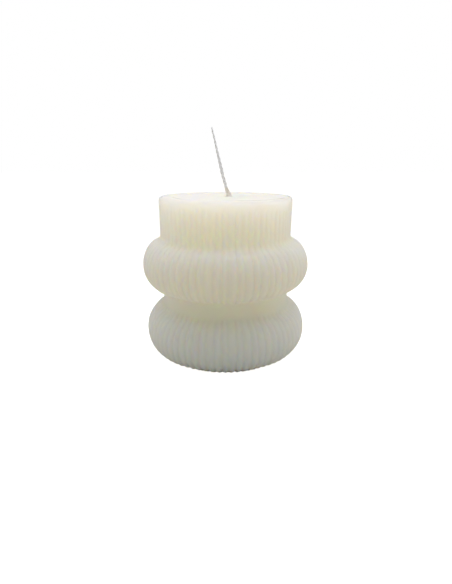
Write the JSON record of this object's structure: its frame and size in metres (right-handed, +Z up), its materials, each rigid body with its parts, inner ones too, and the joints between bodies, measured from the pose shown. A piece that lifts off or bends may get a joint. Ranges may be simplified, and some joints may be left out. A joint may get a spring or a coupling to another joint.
{
  "type": "ribbed pillar candle",
  "caption": "Short ivory wax candle with fine upright ribs: a straight drum over two bulging rings, with a level second pour on top and a thin plaited wick that leans to one side.",
  "frame": {"origin": "middle of the base, on the surface that the candle stands on", "axes": "+Z up along the candle's axis, -Y towards the front, and the wick leans towards -X"},
  "size_m": [0.08, 0.08, 0.1068],
  "materials": {
    "ivory_wax": "cast paraffin wax, translucent ivory, satin, with soft ribs and a faint bloom",
    "poured_wax": "paraffin wax poured and left to set level, translucent ivory, slightly glossier than the body",
    "wick_cotton": "thin flat-plaited cotton, primed with wax, unburnt",
    "tinplate": "bright pressed tinplate, 0.3 mm"
  },
  "bodies": {
    "root": {"wax_body": "ivory_wax", "top_fill": "poured_wax", "wick_bead": "poured_wax", "wick": "wick_cotton", "wick_sustainer": "tinplate"}
  },
  "joints": []
}
